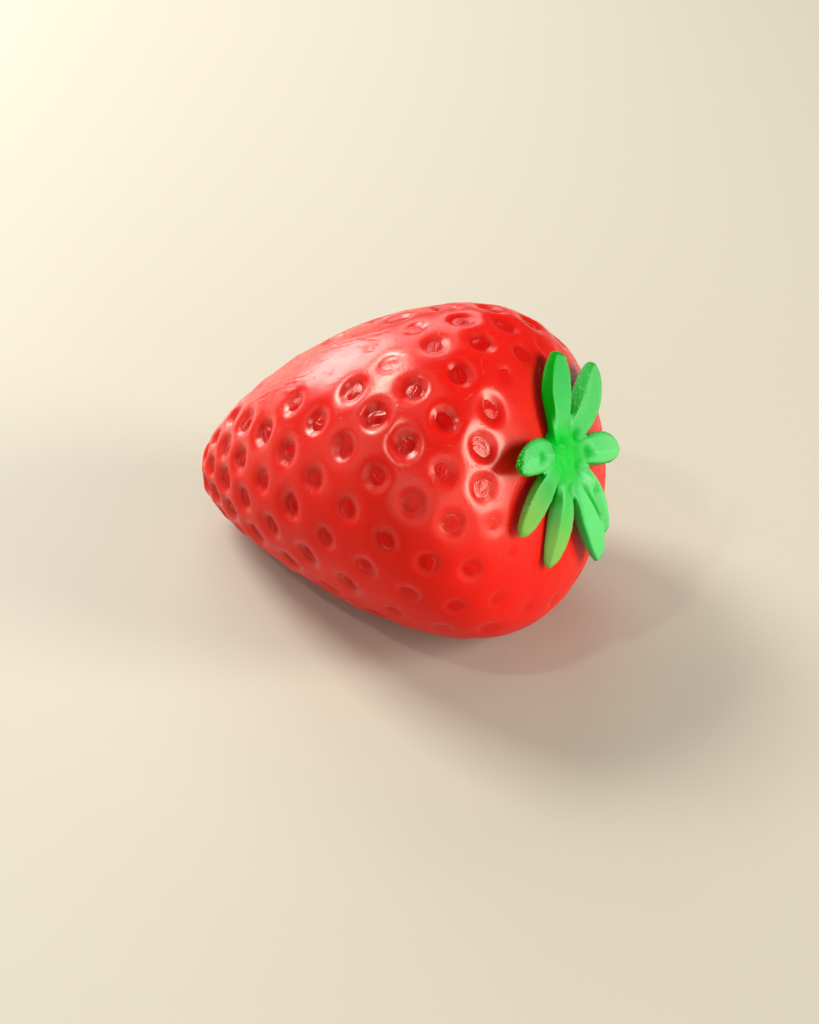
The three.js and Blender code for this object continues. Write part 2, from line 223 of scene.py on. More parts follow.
LOWEST = min(skin_place(math.pi * i / 360, math.pi).z for i in range(361))
BERRY_PLACE = CENTRING + Vector((0, 0, -LOWEST - FLAT_DEPTH))


def skin_group():
    """Node group: a place on the berry's plain skin from its two angles."""
    tree, size = new_tree("berry_skin", {"Polar": 0.0, "Around": 0.0, **BERRY_FORM})
    nodes = tree.nodes
    polar = size["Polar"]
    around = size["Around"]
    along = polar.reckon("COSINE")
    bulge = (size["Taper"] * along + size["Belly"] * ((polar * 2.0).reckon("COSINE") + 1.0)
             + size["Shoulder"] * (polar * 3.0).reckon("COSINE"))
    sag = size["Sag at leaves"] + (size["Sag at tip"] - size["Sag at leaves"]) * (1.0 - along) * 0.5
    oval = (1.0 + sag * around.reckon("COSINE")
            - size["Widening"] * (around * 2.0).reckon("COSINE"))
    radius = size["Girth"] * polar.reckon("SINE") * bulge.reckon("EXPONENT") * oval
    x = size["Length"] * 0.5 * along
    up = radius * around.reckon("COSINE")
    turn_cos = size["Tilt"].reckon("COSINE")
    turn_sin = size["Tilt"].reckon("SINE")
    place = joined(nodes, x * turn_cos - up * turn_sin, radius * around.reckon("SINE"),
                   x * turn_sin + up * turn_cos)
    tree.interface.new_socket("Place", in_out="OUTPUT", socket_type="NodeSocketVector")
    moved = vector_sum(nodes, "ADD", place, tuple(BERRY_PLACE))
    add_node(nodes, "NodeGroupOutput", {"Place": moved})
    return tree


SKIN_GROUP = skin_group()
# Rings of pits: the first one's number, how many are alike, and the pits in each
RING_COUNTS = [(0, 10, 18), (10, 1, 16), (11, 1, 11), (12, 1, 6)]
PIT_SIZES = {
    "First ring": 0.47,
    "Ring step": 0.1813,
    "Ring growth": 0.00067,
    "Ring lean": 0.057,
    "Lean fades by ring": 8.0,
    "Lean towards": math.radians(22),
    "First pit": math.radians(-55.3),
    "Drawn round": math.radians(14),
    "Drawn fade": 2.3,
    "Drawn apart": 0.032,
    "Pit radius": 2.45 * MM,
    "Crowding": 0.43,
    "Pit depth": 0.95 * MM,
    "Bowl power": 2.4,
    "Shoulder depth": 0.3 * MM,
    "Shoulder width": 0.6,
    "Seed height": 0.6,
    "Seed radius": 0.57,
    "Seed crumbs": 0.12 * MM,
    "Wander": 0.16 * MM,
    "Broad lumps": 0.45 * MM,
    "Small lumps": 0.09 * MM,
}
# Places smoothed by handling: ring, degrees round, half sizes in rings and degrees, share lost
RUBBED_SPOTS = [(6.9, -20, 2.0, 25, 1.0), (4.9, -12, 1.7, 30, 1.0), (2.5, -10, 1.1, 14, 0.5),
                (3.0, -25, 0.8, 14, 0.6)]
RUBBED_CORE = 0.35
# Depths as shares of a full pit's. The first ring has the least one, but for some places: degrees
# round, narrowness and share added. The other rings go from the heavy end's share to the full one
# between two rings, and are deeper in front: degrees round, ring and share added, with a half size
# after each of the first two.
FIRST_RING_SHARE = 0.12
FIRST_RING_DEEPER = [(-55, 6.0, 0.7), (5, 40.0, 0.4)]
HEAVY_END_SHARE = 0.6
HEAVY_END_FADES = (3.2, 6.0)
DEEPER_FRONTS = [(-25.0, 45.0, 2.0, 2.6, 0.45), (-80.0, 45.0, 2.5, 2.6, 0.28)]
UNDERSIDE_LOSS = 0.5
DRAWN_APART_AT = (-30.0, 42.0)   # degrees round and half size
# What is drawn for each pit: the draw's number, then its lowest and highest value
PIT_DRAWS = {
    "wander along": (1, -1.0, 1.0),
    "wander across": (2, -1.0, 1.0),
    "size": (3, 0.92, 1.06),
    "depth": (4, 0.88, 1.12),
    "seed turn": (5, 0.0, math.pi),
    "seed stretch": (6, 1.0, 1.25),
    "seed height": (7, 0.75, 1.15),
    "slit": (8, 0.0, 1.0),
}
RIM_WOBBLE = 0.14
SEED_WOBBLE = 0.2
FLAT_EDGE = 0.3 * MM
ANGLE_STEP = 0.004       # radians between the places that give the skin's directions
# Noise scales in waves a metre
RIM_NOISE = 230.0
SEED_NOISE = 420.0
CRUMB_NOISE = 800.0
BROAD_LUMP_NOISE = 70.0
SMALL_LUMP_NOISE = 240.0
CUBE_EDGE_POINTS = 129
SEED_OF_DRAWS = 11


def hump(value, middle, half):
    """1 in the middle of a span, down to 0 at its two ends."""
    away = (value - middle) / half
    return (1.0 - away * away).reckon("MAXIMUM", 0.0)


def towards(turn, middle, power):
    """1 where a turn is at the middle, the narrower the higher the power."""
    return (turn - math.radians(middle)).reckon("COSINE").reckon("MAXIMUM", 0.0).reckon(
        "POWER", power)


def rubbed(nodes, ring, degrees):
    """The share of a pit's depth that handling has left."""
    left = 1.0
    for middle_ring, middle, rings, half, lost in RUBBED_SPOTS:
        along = (ring - middle_ring) / rings
        round_it = (degrees - float(middle)) / float(half)
        away = (along * along + round_it * round_it).reckon("SQRT")
        left = left * smooth_step(nodes, away, RUBBED_CORE, 1.0, 1.0 - lost, 1.0)
    return left


def depth_share(nodes, ring, turn, polar):
    """A pit's depth as a share of the full one. The heavy end's pits are shallower, but for those
    on its front; the first ring fades, and the pits underneath are pressed smoother."""
    degrees = turn * math.degrees(1)
    first = FIRST_RING_SHARE
    for middle, power, more in FIRST_RING_DEEPER:
        first = first + more * towards(turn, middle, power)
    other = smooth_step(nodes, ring, *HEAVY_END_FADES, HEAVY_END_SHARE, 1.0)
    for middle, half, middle_ring, rings, more in DEEPER_FRONTS:
        other = other + more * hump(degrees, middle, half) * hump(ring, middle_ring, rings)
    is_first = ring.reckon("LESS_THAN", 0.5)
    share = is_first * first + (1.0 - is_first) * other
    underside = (smooth_step(nodes, turn.reckon("COSINE") * -1.0, -0.1, 0.7)
                 * smooth_step(nodes, polar, 1.0, 1.6, 1.0, 0.0))
    return share * rubbed(nodes, ring, degrees) * (1.0 - UNDERSIDE_LOSS * underside)


def berry_tree(material):
    """Node tree of the berry: pit middles set out in rings, then a dense skin that dips round the
    nearest of them, rises in its seed and is pressed flat underneath."""
    tree, size = new_tree("berry", {"Points along an edge": CUBE_EDGE_POINTS,
                                    "Draws": SEED_OF_DRAWS, **BERRY_FORM, **PIT_SIZES})
    nodes = tree.nodes

    def on_skin(polar, around):
        """The place on the plain skin at two angles."""
        group = add_node(nodes, "GeometryNodeGroup", node_tree=SKIN_GROUP)
        feed(group.inputs["Polar"], polar)
        feed(group.inputs["Around"], around)
        for name in BERRY_FORM:
            feed(group.inputs[name], size[name])
        return group.outputs["Place"]

    def stored(geometry, name, value, kind="FLOAT"):
        """The geometry with a value kept at each point under a name."""
        return add_node(nodes, "GeometryNodeStoreNamedAttribute",
                        {"Geometry": geometry, "Name": name, "Value": value},
                        data_type=kind, domain="POINT").outputs[0]

    def read(name, kind="FLOAT"):
        """The value kept under a name."""
        node = add_node(nodes, "GeometryNodeInputNamedAttribute", {"Name": name}, data_type=kind)
        out = output_in_use(node)
        return Field(nodes, out) if kind == "FLOAT" else out

    def drawn(name):
        """A draw for each pit, as the list above says."""
        number, low, high = PIT_DRAWS[name]
        seed = size["Draws"] + float(number)
        node = add_node(nodes, "FunctionNodeRandomValue", {"Min": low, "Max": high, "Seed": seed},
                        data_type="FLOAT")
        return Field(nodes, output_in_use(node))

    def noise(place, scale, detail=1.0):
        """Noise about 0, from -0.5 to 0.5."""
        return noise_at(nodes, place, scale, detail) - 0.5

    # pit middles, each with its ring's number and its turn round the berry
    rings = nodes.new("GeometryNodeJoinGeometry")
    for first, count, pits in reversed(RING_COUNTS):
        points = add_node(nodes, "GeometryNodePoints", {"Count": count * pits}).outputs[0]
        index = Field(nodes, nodes.new("GeometryNodeInputIndex").outputs[0])
        ring = (index / float(pits)).reckon("FLOOR") + float(first)
        place = index.reckon("MODULO", float(pits)) + ring.reckon("MODULO", 2.0) * 0.5
        points = stored(points, "ring", ring)
        points = stored(points, "turn", size["First pit"] + place * (math.tau / pits))
        points = stored(points, "pits", float(pits))
        feed(rings.inputs[0], points)
    ring = read("ring")
    turn = read("turn")
    degrees = turn * math.degrees(1)
    lean = size["Ring lean"] * (1.0 - ring / size["Lean fades by ring"])
    polar = (size["First ring"] + size["Ring step"] * ring + size["Ring growth"] * ring * ring
             + lean * ((turn - size["Lean towards"]).reckon("COSINE") - 1.0)
             + size["Drawn apart"] * hump(degrees, *DRAWN_APART_AT)
             * (hump(ring, 2.5, 1.6) - hump(ring, 0.0, 1.0)))
    around = turn + (size["Drawn round"] * (ring * -1.0 / size["Drawn fade"]).reckon("EXPONENT")
                     * smooth_step(nodes, degrees, -60.0, 20.0)
                     * smooth_step(nodes, degrees, 20.0, 140.0, 1.0, 0.0))
    half_step = ANGLE_STEP / 2
    down = vector_sum(nodes, "SUBTRACT", on_skin(polar + half_step, around),
                      on_skin(polar - half_step, around))
    across = vector_sum(nodes, "SUBTRACT", on_skin(polar, around + half_step),
                        on_skin(polar, around - half_step))
    meridian = vector_sum(nodes, "LENGTH", down) / ANGLE_STEP
    girth = vector_sum(nodes, "LENGTH", across) / ANGLE_STEP
    pit_size = drawn("size")
    half_across = size["Pit radius"].reckon(
        "MINIMUM", size["Crowding"] * math.tau / read("pits") * girth) * pit_size
    half_along = size["Pit radius"].reckon(
        "MINIMUM", (size["Pit radius"] + half_across) * 0.5) * pit_size
    middle = on_skin(polar + size["Wander"] * drawn("wander along") / meridian,
                     around + size["Wander"] * drawn("wander across") / girth)
    share = (depth_share(nodes, ring, turn, polar) * drawn("depth")
             * (half_across / size["Pit radius"]).reckon("POWER", 0.6))
    middles = stored(rings.outputs[0], "across", vector_sum(nodes, "NORMALIZE", across),
                     "FLOAT_VECTOR")
    shrunk = smooth_step(nodes, share, 0.1, 0.75, 0.68, 1.0)
    middles = stored(middles, "half_across", half_across * shrunk)
    middles = stored(middles, "along", vector_sum(nodes, "NORMALIZE", down), "FLOAT_VECTOR")
    middles = stored(middles, "half_along", half_along * shrunk)
    middles = stored(middles, "share", share)
    middles = stored(middles, "seed_turn", drawn("seed turn"))
    middles = stored(middles, "seed_stretch", drawn("seed stretch"))
    middles = stored(middles, "seed_share", drawn("seed height"))
    middles = stored(middles, "slit_share", smooth_step(nodes, drawn("slit"), 0.35, 0.75))
    middles = add_node(nodes, "GeometryNodeSetPosition",
                       {"Geometry": middles, "Position": middle}).outputs[0]

    # skin: a cube blown up to a ball with even spacing, whose two angles give the place
    edge = size["Points along an edge"]
    cube = add_node(nodes, "GeometryNodeMeshCube", {
        "Size": (2.0, 2.0, 2.0), "Vertices X": edge, "Vertices Y": edge, "Vertices Z": edge})
    corner = parts_of(nodes, nodes.new("GeometryNodeInputPosition").outputs[0])
    x, y, z = [(c * (math.pi / 4)).reckon("TANGENT") for c in corner]
    ball = vector_sum(nodes, "NORMALIZE", joined(nodes, x, y, z))
    x, y, z = parts_of(nodes, ball)
    skin = stored(cube.outputs["Mesh"], "polar", x.reckon("MINIMUM", 1.0).reckon("MAXIMUM", -1.0)
                  .reckon("ARCCOSINE"))
    skin = stored(skin, "around", y.reckon("ARCTAN2", z))
    skin = add_node(nodes, "GeometryNodeSetPosition", {
        "Geometry": skin, "Position": on_skin(read("polar"), read("around"))}).outputs[0]

    # pits: the distance from the nearest middle, 1 at the rim, gives the depth of the bowl, and
    # the skin sinks softly towards the rim outside it
    place = nodes.new("GeometryNodeInputPosition").outputs[0]
    nearest = add_node(nodes, "GeometryNodeSampleNearest",
                       {"Geometry": middles, "Sample Position": place}, domain="POINT").outputs[0]

    def of_nearest(name, kind="FLOAT"):
        """What the nearest middle keeps under a name, or its place if there is no name."""
        value = read(name, kind) if name else nodes.new("GeometryNodeInputPosition").outputs[0]
        node = add_node(nodes, "GeometryNodeSampleIndex",
                        {"Geometry": middles, "Value": value, "Index": nearest},
                        data_type=kind, domain="POINT")
        out = output_in_use(node)
        return Field(nodes, out) if kind == "FLOAT" else out

    away = vector_sum(nodes, "SUBTRACT", place, of_nearest(None, "FLOAT_VECTOR"))
    side = vector_sum(nodes, "DOT_PRODUCT", away, of_nearest("across", "FLOAT_VECTOR"))
    end = vector_sum(nodes, "DOT_PRODUCT", away, of_nearest("along", "FLOAT_VECTOR"))
    side = side / of_nearest("half_across")
    end = end / of_nearest("half_along")
    share = of_nearest("share")
    wobble = 1.0 + RIM_WOBBLE * noise(place, RIM_NOISE)
    reach = (side * side + end * end).reckon("SQRT") * wobble
    bowl = 1.0 - reach.reckon("MINIMUM", 1.0).reckon("POWER", size["Bowl power"])
    beyond = (reach - 1.0).reckon("MAXIMUM", 0.0) / size["Shoulder width"]
    shoulder = (1.0 - beyond).reckon("MAXIMUM", 0.0).reckon("POWER", 2.0)

    # seed: a low uneven oval dome
    seed_turn = of_nearest("seed_turn")
    turn_cos = seed_turn.reckon("COSINE")
    turn_sin = seed_turn.reckon("SINE")
    seed_stretch = of_nearest("seed_stretch")
    long_way = (side * turn_cos + end * turn_sin) / seed_stretch
    short_way = (end * turn_cos - side * turn_sin) * seed_stretch
    seed_reach = (long_way * long_way + short_way * short_way).reckon("SQRT")
    seed_reach = seed_reach + SEED_WOBBLE * noise(place, SEED_NOISE)
    dome = hump(seed_reach, 0.0, size["Seed radius"])
    seed = dome * size["Seed height"] * of_nearest("seed_share")
    crumbs = size["Seed crumbs"] * noise(place, CRUMB_NOISE) * dome

    def softened(value, times):
        """A value evened out between neighbouring points."""
        soft = add_node(nodes, "GeometryNodeBlurAttribute", {"Value": value, "Iterations": times},
                        data_type="FLOAT")
        return Field(nodes, output_in_use(soft))

    # how far the skin moves in or out, and what the material needs to know of each place
    height = share * (size["Pit depth"] * (seed - bowl) + crumbs)
    height = (softened(height, 1) - softened(size["Shoulder depth"] * share * shoulder, 4)
              + size["Broad lumps"] * noise(place, BROAD_LUMP_NOISE, 2.0)
              + size["Small lumps"] * noise(place, SMALL_LUMP_NOISE, 2.0))
    normal = nodes.new("GeometryNodeInputNormal").outputs[0]
    skin = stored(skin, "glaze", smooth_step(nodes, parts_of(nodes, normal)[2], 0.15, 0.6))
    skin = stored(skin, "bowl", bowl * share)
    skin = stored(skin, "rim", hump(reach, 0.9, 0.25) * share)
    seed_place = joined(nodes, long_way, short_way, share * of_nearest("slit_share"))
    skin = stored(skin, "seed_place", seed_place, "FLOAT_VECTOR")
    skin_ring = (read("polar") - size["First ring"]) / size["Ring step"]
    skin = stored(skin, "rubbed", 1.0 - rubbed(nodes, skin_ring, read("around") * math.degrees(1)))
    skin = add_node(nodes, "GeometryNodeSetPosition", {
        "Geometry": skin, "Offset": scaled(nodes, normal, height)}).outputs[0]

    # the spot it rests on, with a soft edge
    x, y, z = parts_of(nodes, nodes.new("GeometryNodeInputPosition").outputs[0])
    pressed = z.reckon("SMOOTH_MAX", 0.0, FLAT_EDGE).reckon("MAXIMUM", 0.0)
    skin = add_node(nodes, "GeometryNodeSetPosition", {
        "Geometry": skin, "Position": joined(nodes, x, y, pressed)}).outputs[0]
    skin = add_node(nodes, "GeometryNodeSetShadeSmooth", {"Geometry": skin}).outputs[0]
    skin = add_node(nodes, "GeometryNodeRealizeInstances", {"Geometry": skin}).outputs[0]
    skin = add_node(nodes, "GeometryNodeSetMaterial",
                    {"Geometry": skin, "Material": material}).outputs[0]
    tree.interface.new_socket("Geometry", in_out="OUTPUT", socket_type="NodeSocketGeometry")
    add_node(nodes, "NodeGroupOutput", {"Geometry": skin})
    return tree


def grown(name, tree, sizes):
    """A plain mesh object made by a node tree. Its inputs are set before it is first evaluated."""
    seedling = bpy.data.objects.new(name + "_seedling", bpy.data.meshes.new(name + "_seedling"))
    scene.collection.objects.link(seedling)
    modifier = seedling.modifiers.new("grow", "NODES")
    modifier.node_group = tree
    slots = {item.name: item.identifier for item in tree.interface.items_tree
             if item.in_out == "INPUT"}
    for size, value in sizes.items():
        modifier[slots[size]] = value
    mesh = bpy.data.meshes.new_from_object(
        seedling.evaluated_get(bpy.context.evaluated_depsgraph_get()))
    bpy.data.objects.remove(seedling)
    mesh.name = name
    grown_object = bpy.data.objects.new(name, mesh)
    scene.collection.objects.link(grown_object)
    return grown_object


def new_material(name, **values):
    """A material with a Principled shader whose plain values are set on its own sockets."""
    material = bpy.data.materials.new(name)
    material.use_nodes = True
    shader = material.node_tree.nodes["Principled BSDF"]
    for socket, value in values.items():
        shader.inputs[socket.replace("_", " ")].default_value = value
    return material, material.node_tree.nodes, shader


def blended(nodes, factor, low, high):
    """A colour between two others."""
    node = add_node(nodes, "ShaderNodeMix", data_type="RGBA")
    feed(node.inputs["Factor"], factor)
    for slot, value in zip([s for s in node.inputs if s.type == "RGBA"], (low, high)):
        feed(slot, value)
    return next(s for s in node.outputs if s.type == "RGBA")


def stored_value(nodes, name):
    """A number that the mesh holds under this name."""
    return Field(nodes, add_node(nodes, "ShaderNodeAttribute", attribute_name=name).outputs["Fac"])


RED_SHADES = ((0.62, 0.007, 0.004, 1), (0.76, 0.012, 0.006, 1))
# Painted shade: darker reds for the pits' bowls, the crevice round each seed and the pores
BOWL_SHADE_RED = (0.47, 0.002, 0.002, 1)
CREVICE_SHADE_RED = (0.36, 0.001, 0.001, 1)
PORE_SHADE_RED = (0.2, 0.002, 0.002, 1)
# Rings round a seed's middle, in half sizes of its pit
SEED_EDGE = 0.54
CREVICE = 0.61
# Noises in the paste: waves a metre, and how many finer ones are added
RED_NOISES = {
    "shade": (90.0, 3.0),
    "where there are spots": (60.0, 2.0),
    "seed outline": (1500.0, 2.0),
    "where it is rough": (110.0, 3.0),
    "where it is streaked": (70.0, 1.0),
    "grain": (2600.0, 3.0),
    "seed grain": (1300.0, 2.0),
    "where it glints": (900.0, 1.0),
    "glint relief": (1900.0, 1.0),
}


def red_marzipan():
    """Waxy red paste: painted shade makes it deeper red in the pits, dark in the crevice round each
    seed and dark in its pores; glossy where it faces up.
    """
    material, nodes, shader = new_material(
        "red_marzipan", Subsurface_Weight=0.4, Subsurface_Scale=1.4 * MM,
        Subsurface_Radius=(1.0, 0.1, 0.06), Specular_Tint=(1.0, 0.88, 0.66, 1.0))
    where = nodes.new("ShaderNodeTexCoord").outputs["Object"]

    def noise(name):
        return noise_at(nodes, where, *RED_NOISES[name])

    bowl = stored_value(nodes, "bowl")
    handled = stored_value(nodes, "rubbed")
    colour = blended(nodes, noise("shade"), *RED_SHADES)
    # painted shade in the pits' bowls
    colour = blended(nodes, bowl * 0.9, colour, BOWL_SHADE_RED)
    spots = add_node(nodes, "ShaderNodeTexVoronoi", {"Vector": where, "Scale": 700.0})
    spot_draw = parts_of(nodes, spots.outputs["Color"])[0]
    spotted = smooth_step(nodes, noise("where there are spots") + handled * 0.12, 0.47, 0.6)
    spot = (smooth_step(nodes, spots.outputs["Distance"], 0.06, 0.2, 1.0, 0.0)
            * smooth_step(nodes, spot_draw, 0.6, 0.62) * spotted)
    # painted shade in the pores, which the bump below also sinks a little
    colour = blended(nodes, spot * 0.6, colour, PORE_SHADE_RED)
    seed_place = add_node(nodes, "ShaderNodeAttribute", attribute_name="seed_place")
    long_way, short_way, slit_share = parts_of(nodes, seed_place.outputs["Vector"])
    shaken = 0.16 * (noise("seed outline") - 0.5)
    seed_reach = (long_way * long_way + short_way * short_way).reckon("SQRT") + shaken
    # painted shade in the crevice round each seed, which the bump below also sinks a little
    from_crevice = (seed_reach - CREVICE).reckon("ABSOLUTE")
    crevice = smooth_step(nodes, from_crevice, 0.0, 0.18, 1.0, 0.0) * bowl
    colour = blended(nodes, crevice * 0.45, colour, CREVICE_SHADE_RED)
    feed(shader.inputs["Base Color"], colour)

    # relief in mm: pores, a fine grain that is rougher in places, streaks left by handling, a slit
    # and an edge in the seeds, and the crevice round them
    slit = (smooth_step(nodes, (short_way + shaken).reckon("ABSOLUTE"), 0.03, 0.12, 1.0, 0.0)
            * smooth_step(nodes, seed_reach, 0.28, 0.42, 1.0, 0.0) * slit_share)
    from_edge = (seed_reach - SEED_EDGE).reckon("ABSOLUTE")
    edge = smooth_step(nodes, from_edge, 0.0, 0.12, 1.0, 0.0)
    in_seed = smooth_step(nodes, seed_reach, 0.42, 0.68, 1.0, 0.0)
    rough = smooth_step(nodes, noise("where it is rough"), 0.5, 0.68)
    streak_place = joined(nodes, stored_value(nodes, "polar") * 7.0,
                          stored_value(nodes, "around") * 20.0, 0.0)
    streaks = (smooth_step(nodes, noise_at(nodes, streak_place, 1.0, 2.0), 0.45, 0.7)
               * smooth_step(nodes, handled, 0.4, 1.0)
               * smooth_step(nodes, noise("where it is streaked"), 0.45, 0.6))
    grain = noise("grain") - 0.5
    sparkle = (smooth_step(nodes, from_edge, 0.02, 0.1, 1.0, 0.0)
               * smooth_step(nodes, noise("where it glints"), 0.52, 0.58)
               * smooth_step(nodes, bowl, 0.1, 0.4))
    relief = (grain * (0.008 + 0.04 * rough + 0.02 * in_seed) - 0.05 * spot
              + (noise("seed grain") - 0.5) * in_seed * (0.04 + 0.12 * slit_share)
              - 0.09 * slit + 0.02 * edge * slit_share + 0.08 * streaks - 0.07 * crevice
              + (noise("glint relief") - 0.5) * 0.12 * sparkle)
    bump = add_node(nodes, "ShaderNodeBump", {"Height": relief, "Strength": 1.0, "Distance": MM})
    feed(shader.inputs["Normal"], bump.outputs[0])

    # gloss: most where the skin faces up, some on the pits' rims and in glints round the seeds
    glaze = stored_value(nodes, "glaze")
    rim = stored_value(nodes, "rim") * (1.0 - glaze)
    feed(shader.inputs["Specular IOR Level"],
         (0.12 + 0.38 * glaze) * (1.0 - 0.45 * in_seed)
         + 0.35 * rim + 0.8 * sparkle * (1.0 - glaze))
    feed(shader.inputs["Roughness"],
         0.36 - 0.1 * glaze + 0.06 * rough - 0.08 * in_seed - 0.12 * sparkle - 0.06 * rim)
    return material


RED = red_marzipan()
berry = grown("berry_skin", berry_tree(RED), {**BERRY_FORM, **PIT_SIZES})
berry.data.materials.clear()
berry.data.materials.append(RED)
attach(berry, "root")
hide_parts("berry")


# Leaf star. Green marzipan, moulded in one: eight thick leaves with a ridge down the middle of
# each, that leave a low hub and stand a little off the berry. It is stuck to the berry's end.
STAR_AXIS = Vector((math.cos(BERRY_FORM["Tilt"]), 0, math.sin(BERRY_FORM["Tilt"])))
VIEW_TURN = math.radians(28)
VIEW_RISE = math.radians(36.4)
TOWARDS_VIEWER = Vector((math.sin(VIEW_TURN) * math.cos(VIEW_RISE),
                         -math.cos(VIEW_TURN) * math.cos(VIEW_RISE), math.sin(VIEW_RISE)))
STAR_UP = TOWARDS_VIEWER.cross(STAR_AXIS).normalized()
STAR_RIGHT = STAR_UP.cross(STAR_AXIS).normalized()
STAR_SHIFT = 1.5 * MM
STAR_MIDDLE = skin_place(0, 0) + BERRY_PLACE - STAR_SHIFT * STAR_RIGHT
LEAF_THICKNESS = 1.5 * MM
TIP_THINNING = 0.45
SHOULDER_SHARE = 0.25
# A leaf's section: the underside's half width as a share of the widest, and the heights of its
# edge, shoulder and hollow underside as shares of the thickness
FOOT_HALF = 0.8
EDGE_HEIGHT = 0.5
SHOULDER_HEIGHT = 0.95
HOLLOW_HEIGHT = 0.07
LEAF_START = 1.2 * MM
LEAF_SEAT = 0.5 * MM
TIP_ROUNDING = 0.6 * MM
TIP_ROUND_FROM = 0.93
RIDGE_FROM = 0.1
RIDGE_RISE = 0.3
WIDEST_AT = 0.58         # share of the length
NARROWS_FROM = 0.5       # share of the length
NARROWING_POWER = 2.4
LEAST_WIDTH = 0.08       # of the rounded tip, as a share
LEAST_THICKNESS = 0.4    # of the rounded tip, as a share
HUB_RADIUS = 3.6 * MM
HUB_REACH = 5.2 * MM
HUB_DROP = 0.8 * MM
HUB_HEIGHT = 2.9 * MM
# turn, length, width, tip, arch, twist, bow, lean, ridge, crest, stalk, blunt: degrees and mm, but
# for the ridge's place from -1 to 1, and the stalk's and tip's widths as shares of the widest
LEAVES = [
    (80, 16.2, 5.9, -1.2, 0.4, -24, -1.6, 0.3, -0.6, 0.9, 0.75, 0.6),
    (45, 20.6, 7.0, -1.5, 0.8, -12, -0.4, 0.3, -0.6, 0.9, 0.35, 0.35),
    (4, 19.3, 5.6, -0.5, 0.8, 0, -0.5, 0, 0.2, 0.7, 0.5, 0.3),
    (328, 20.8, 5.6, -2.0, 0.4, 8, -0.3, 0.9, -0.2, 0.7, 0.85, 0.2),
    (310.5, 21.4, 5.8, -1.5, 0.6, 18, -0.1, -0.5, 0.8, 0.8, 0.5, 0.55),
    (271, 17.0, 5.1, -2.0, 0.4, 26, -0.4, 0.7, 0.3, 0.7, 0.6, 0.25),
    (235.5, 15.1, 4.6, -1.5, 0.8, 18, 1.5, 0.6, 0.8, 0.8, 0.7, 0.25),
    (184, 13.2, 5.8, 1.0, 0.8, 0, 0.5, -0.9, 0, 0.9, 0.6, 0.4),
]
LEAF_ROWS = 70
POINTS_A_SIDE = 6
HUB_RINGS = 12
HUB_SIDES = 40
VOXEL = 0.2 * MM
SMOOTHINGS = 4
SEAT_GAP = 0.05 * MM


def between(value, low, high):
    """0 at one number and 1 at another, smooth between them."""
    share = max(0, min(1, (value - low) / (high - low)))
    return share * share * (3 - 2 * share)


def leaf_outline(share, stalk, blunt):
    """Half width as a share of the widest, from 0 at the hub to 1 at the tip."""
    rise = stalk + (1 - stalk) * math.sin(math.pi / 2 * min(1, share / WIDEST_AT))
    narrowing = max(0, (share - NARROWS_FROM) / (1 - NARROWS_FROM))
    fall = math.sqrt(max(0, 1 - narrowing ** NARROWING_POWER))
    return rise * max(blunt, fall)


def leaf_section(ridge, thickness, top):
    """Round a leaf's section: half widths across and heights above its underside. The sides between
    its eight corners are straight."""
    edge = EDGE_HEIGHT * thickness
    shoulder = SHOULDER_HEIGHT * thickness
    corners = [(-FOOT_HALF, 0), (-1, edge), (-1 + (ridge + 1) * SHOULDER_SHARE, shoulder),
               (ridge, top), (1 + (ridge - 1) * SHOULDER_SHARE, shoulder), (1, edge),
               (FOOT_HALF, 0), (0, HOLLOW_HEIGHT * thickness)]
    around = []
    for (across, up), (next_across, next_up) in zip(corners, corners[1:] + corners[:1]):
        for n in range(POINTS_A_SIDE):
            part = n / POINTS_A_SIDE
            around.append((across + (next_across - across) * part, up + (next_up - up) * part))
    return around


def leaf_shell(turn, length, width, tip, arch, twist, bow, lean, ridge, crest, stalk, blunt):
    """Points and faces of one closed leaf."""
    out = STAR_RIGHT * math.cos(math.radians(turn)) + STAR_UP * math.sin(math.radians(turn))
    side = out.cross(STAR_AXIS)
    points = []
    for row in range(LEAF_ROWS):
        share = row / (LEAF_ROWS - 1)
        rounding = math.sqrt(1 - max(0, (share - TIP_ROUND_FROM) / (1 - TIP_ROUND_FROM)) ** 2)
        half = width * MM / 2 * leaf_outline(share, stalk, blunt) * max(LEAST_WIDTH, rounding)
        turned = math.radians(twist) * min(1, share * 2)
        face = STAR_AXIS * math.cos(turned) + side * math.sin(turned)
        edge = side * math.cos(turned) - STAR_AXIS * math.sin(turned)
        reach = LEAF_START + (length * MM + TIP_ROUNDING - LEAF_START) * share
        middle = (STAR_MIDDLE + out * reach
                  + STAR_AXIS * (LEAF_SEAT + MM * (tip * share * share
                                                   + arch * math.sin(math.pi * share)))
                  + side * (MM * (bow * math.sin(math.pi * share) + lean * share ** 3)))
        thickness = LEAF_THICKNESS * (1 - TIP_THINNING * share)
        top = thickness + crest * MM * (math.sin(math.pi * (0.1 + 0.8 * share))
                                        * between(share, RIDGE_FROM, RIDGE_FROM + RIDGE_RISE))
        thinning = max(LEAST_THICKNESS, rounding)
        section = leaf_section(ridge, thickness * thinning, top * thinning)
        points += [middle + edge * (across * half) + face * up for across, up in section]
    corners = len(section)
    points.append(sum(points[-corners:], Vector()) / corners)
    faces = [tuple(reversed(range(corners)))]
    for row in range(LEAF_ROWS - 1):
        for corner in range(corners):
            a = row * corners + corner
            b = row * corners + (corner + 1) % corners
            faces.append((a, b, b + corners, a + corners))
    last = (LEAF_ROWS - 1) * corners
    faces += [(last + i, last + (i + 1) % corners, last + corners) for i in range(corners)]
    return points, faces


